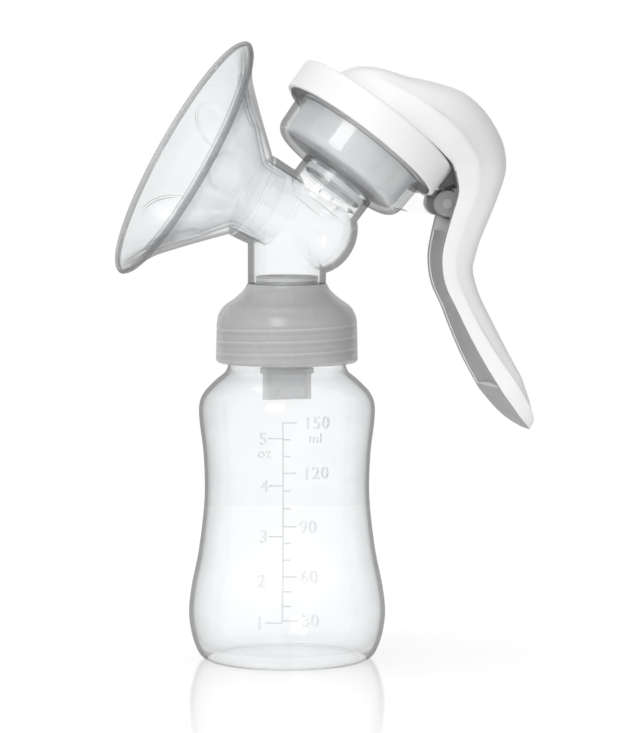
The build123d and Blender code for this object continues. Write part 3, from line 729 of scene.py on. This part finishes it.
PP_IOR, SILICONE_IOR = 1.45, 1.38
NECK_OFFSET = 1.9           # from the head's axis to the axis of the body's neck
HEAD_NECK = axis_frame(HEAD @ Vector((NECK_OFFSET * MM, 0, 0)), HEAD_AXIS)
BODY_BORES = [(FUNNEL, 13.8, -24.4, -23.0), (FUNNEL, 11.75, -36.0, -23.0), (FUNNEL, 10.9, -50.5, -35.5),
              (FUNNEL, 10.3, -53.0, -50.0), (FUNNEL, 9.5, -55.3, -52.5), (FUNNEL, 7.0, -57.5, -55.0),
              (UPRIGHT, 9.6, 113.0, 127.0), (HEAD_NECK, 10.5, -19.0, -13.0)]
CUP_BORES = [(HEAD, 21.6, -11.6, 2.0), (HEAD_NECK, 8.4, -17.5, -13.2)]

clear_pp = clear_plastic("clear_polypropylene", PP_IOR, CONE_EDGE, (0.0, 0.03), 0.05, 0.96)
body_pp = clear_plastic("body_polypropylene", PP_IOR, TUBE_EDGE, (0.0, 0.03), 0.05, 0.92, bores=BODY_BORES)
cup_pp = clear_plastic("cup_polypropylene", PP_IOR, CUP_EDGE, (0.0, 0.03), 0.05, 0.88, bores=CUP_BORES)
bottle_pp = clear_plastic("bottle_polypropylene", PP_IOR, BOTTLE_EDGE, (0.01, 0.05), 0.05, 0.95)
inner_pp = clear_plastic("inner_polypropylene", PP_IOR, INNER_EDGE, (0.01, 0.05), 0.05, 0.97)
clear_silicone = clear_plastic("clear_silicone", SILICONE_IOR, SOFT_EDGE, (0.03, 0.09), 0.10, 0.96)
mark_pp = clear_plastic("raised_figures", PP_IOR, MARK_EDGE, (0.01, 0.05), 0.05, 0.85)
rim_silicone = clear_plastic("rim_silicone", SILICONE_IOR, RIM_EDGE, (0.05, 0.1), 0.05, 0.8)
milky_pp = milky_plastic("milky_polypropylene", 0.52, 0.74, (0.2, 0.3), THREAD_LIGHT_AND_SHADE)
valve_silicone = milky_plastic("valve_silicone", 0.80, 0.45, (0.35, 0.45))

WHITE = grey(0.87, 0.003), grey(0.90, 0.002)
# Grey of the lever's grip and inner side: partly the grip's own colour, partly painted shade of that side and
# the hinge.
GRIP_GREY_AND_SHADE = grey(0.29, 0.003), grey(0.34, 0.002)
WHITE_GRAIN = [(30, 2, 0.05, 0.0008), (1400, 3, 0.06, 0.00006)]
white_pp = opaque_plastic("white_polypropylene", *WHITE, (0.42, 0.52), WHITE_GRAIN, soft=0.1)
shell_pp = two_tone("handle_polypropylene", WHITE, GRIP_GREY_AND_SHADE, (0.42, 0.52), WHITE_GRAIN)
# The grip cover in the same grey, partly painted shade.
grip_and_shade_grey = opaque_plastic("grey_grip", *GRIP_GREY_AND_SHADE, (0.42, 0.56),
                           [(2200, 3, 0.25, 0.00012), (60, 2, 0.06, 0.0006)])
satin_silicone = opaque_plastic("satin_silicone", grey(0.60, 0.003), grey(0.66, 0.002), (0.34, 0.46),
                                [(50, 3, 0.08, 0.0006), (1100, 2, 0.10, 0.00008)], soft=0.2)
pin_grey = opaque_plastic("pin_plastic", grey(0.38, 0.003), grey(0.42, 0.002), (0.30, 0.42),
                          [(900, 3, 0.15, 0.0001)])

NODE_MATERIALS = {
    "pump_body": body_pp,
    "vacuum_cup": cup_pp,
    "guide_plate": white_pp,
    "handle_shell": shell_pp,
    "handle_cover": grip_and_shade_grey,
    "stem_hook": white_pp,
    "pump_stem": white_pp,
    "stem_washer": satin_silicone,
    "cup_seal": satin_silicone,
    "tube_seal": satin_silicone,
    "bottle_seal": satin_silicone,
    "duckbill_valve": valve_silicone,
    "pivot_pin": pin_grey,
}


def paint(obj, material):
    obj.data.materials.clear()
    obj.data.materials.append(material)


def dress_nodes():
    """Materials for the CAD pieces that are seen as they are."""
    for name, material in NODE_MATERIALS.items():
        obj = frame["nodes"][name]
        if not obj.material_slots:
            obj.data.materials.append(material)
        for slot in obj.material_slots:
            slot.material = material


INSIDE_TURN = 0.3       # faces that look outwards by less than this cosine count as lining
BEAD_R = 38.4


def recolour(obj, matrix, material, chosen):
    """Gives faces their own material where chosen(way out from the matrix's Z, normal) holds."""
    obj.data.materials.append(material)
    axis, centre = matrix.col[2].xyz, matrix.translation
    for polygon in obj.data.polygons:
        out = polygon.center - centre
        out = out - axis * out.dot(axis)
        if chosen(out, polygon.normal):
            polygon.material_index = 1


def is_lining(out, normal):
    """True for faces that look towards the axis or along it."""
    return out.dot(normal) < INSIDE_TURN * out.length


def is_bead(out, normal):
    """True for the faces of the rim's bead."""
    return out.length > BEAD_R * MM


def place(obj, body, node, material, lining=None):
    """The piece stands for a CAD node and rides on its body. A lining is (matrix, material) for its bore."""
    paint(obj, material)
    if lining:
        recolour(obj, *lining, is_lining)
    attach(obj, body)
    if node:
        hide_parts(node)


# ---------------------------------------------------------------- light, floor, backdrop
VIEW_ACROSS = Vector((-math.sin(CAMERA_AZIMUTH), math.cos(CAMERA_AZIMUTH), 0))
VIEW_RIGHT = Vector((math.cos(CAMERA_AZIMUTH), math.sin(CAMERA_AZIMUTH), 0))
# Directions run from 0 to 1: from the camera's side to the far side, and from straight down to straight up.
SCREENS = [(0.0, grey(1.0)), (0.25, grey(0.8)), (0.5, grey(0.35)), (0.75, grey(0.45)), (0.92, grey(0.9))]
SCREEN_HEIGHTS = [(0.34, grey(0.0)), (0.46, grey(1.0)), (0.72, grey(1.0)), (0.78, grey(0.0))]
BENT_HEIGHTS = [(0.0, grey(0.75)), (0.22, grey(1.0)), (0.78, grey(1.0)), (0.9, grey(0.6))]
GROUND_GLOW, CEILING_GLOW = 0.2, 0.4
RIGHT_GLOW = 0.75


def make_world():
    """Plain white for the camera. Bent rays see it white near the horizon, and all others see a grey room
    with white screens."""
    world = bpy.data.worlds.new("studio")
    bpy.context.scene.world = world
    world.use_nodes = True
    tree = world.node_tree
    direction = add(tree, "ShaderNodeTexCoord").outputs["Generated"]
    across = calculated(tree, "MULTIPLY_ADD", dotted(tree, direction, VIEW_ACROSS), 0.5, 0.5)
    up = calculated(tree, "MULTIPLY_ADD", separated(tree, direction)[2], 0.5, 0.5)
    away = ramp(tree, up, [(0.48, grey(GROUND_GLOW)), (0.75, grey(CEILING_GLOW))])
    room = blended(tree, ramp(tree, up, SCREEN_HEIGHTS), away, ramp(tree, across, SCREENS))
    falloff = ramp(tree, dotted(tree, direction, VIEW_RIGHT), [(0.0, grey(1.0)), (0.9, grey(RIGHT_GLOW))])
    room = multiplied(tree, room, falloff)
    path = add(tree, "ShaderNodeLightPath")
    passed = blended(tree, path.outputs["Is Transmission Ray"], room, ramp(tree, up, BENT_HEIGHTS))
    seen = blended(tree, path.outputs["Is Camera Ray"], passed, 1.0)
    tree.links.new(seen, tree.nodes["Background"].inputs["Color"])


def make_softbox(name, location, size, power):
    data = bpy.data.lights.new(name, "AREA")
    data.shape = "RECTANGLE"
    data.size, data.size_y = size
    data.energy = power
    light = bpy.data.objects.new(name, data)
    light.location = location
    light.rotation_euler = (Vector(location) - TARGET).to_track_quat("Z", "Y").to_euler()
    light.visible_camera = False
    light.visible_transmission = False
    bpy.context.scene.collection.objects.link(light)


FLOOR_R = 400
FLOOR_CORNERS = 96
# Glow of the floor by distance, in parts of its radius: it makes up for the lamps' fading.
FLOOR_GLOW = [(0.08, grey(0.24)), (0.45, grey(0.33)), (0.95, grey(0.30))]


def make_floor():
    angles = [2 * math.pi * k / FLOOR_CORNERS for k in range(FLOOR_CORNERS)]
    rim = [(FLOOR_R * math.cos(angle), FLOOR_R * math.sin(angle), 0) for angle in angles]
    floor = mesh_object("floor", rim, [list(range(FLOOR_CORNERS))])
    material, tree, shader = new_material("floor")
    shader.inputs["Base Color"].default_value = (*grey(0.85), 1)
    shader.inputs["Roughness"].default_value = 0.12
    shader.inputs["Emission Color"].default_value = (1, 1, 1, 1)
    point = add(tree, "ShaderNodeTexCoord")
    away = add(tree, "ShaderNodeVectorMath", operation="LENGTH")
    tree.links.new(point.outputs["Object"], away.inputs[0])
    share = calculated(tree, "DIVIDE", away.outputs["Value"], FLOOR_R * MM)
    tree.links.new(ramp(tree, share, FLOOR_GLOW), shader.inputs["Emission Strength"])
    floor.data.materials.append(material)


def set_view():
    scene = bpy.context.scene
    scene.view_settings.view_transform = "Standard"
    scene.cycles.max_bounces = 28
    scene.cycles.transmission_bounces = 28
    scene.cycles.transparent_max_bounces = 32
    scene.cycles.sample_clamp_indirect = 4.0
    scene.cycles.blur_glossy = 0.5


# ---------------------------------------------------------------- put it together
make_camera()
set_view()
make_world()
make_floor()
make_softbox("key", (-0.5, -0.85, 0.6), (0.4, 0.6), 4.9)
make_softbox("top", (-0.1, 0.0, 1.1), (0.7, 0.7), 2.4)

dress_nodes()
place(make_bottle(), "bottle", "bottle", bottle_pp, (UPRIGHT, inner_pp))
place(make_marks(), "bottle", None, mark_pp)
place(make_adapter(), "pump", "bottle_adapter", milky_pp)
place(make_shield(), "pump", "breast_shield", clear_pp, (FUNNEL, inner_pp))
cushion = make_cushion()
place(cushion, "pump", "massage_cushion", clear_silicone)
recolour(cushion, FUNNEL, rim_silicone, is_bead)
place(make_ring(), "pump", "cap_ring", white_pp)

diaphragm = make_diaphragm()
paint(diaphragm, satin_silicone)
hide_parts("diaphragm")
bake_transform(diaphragm)
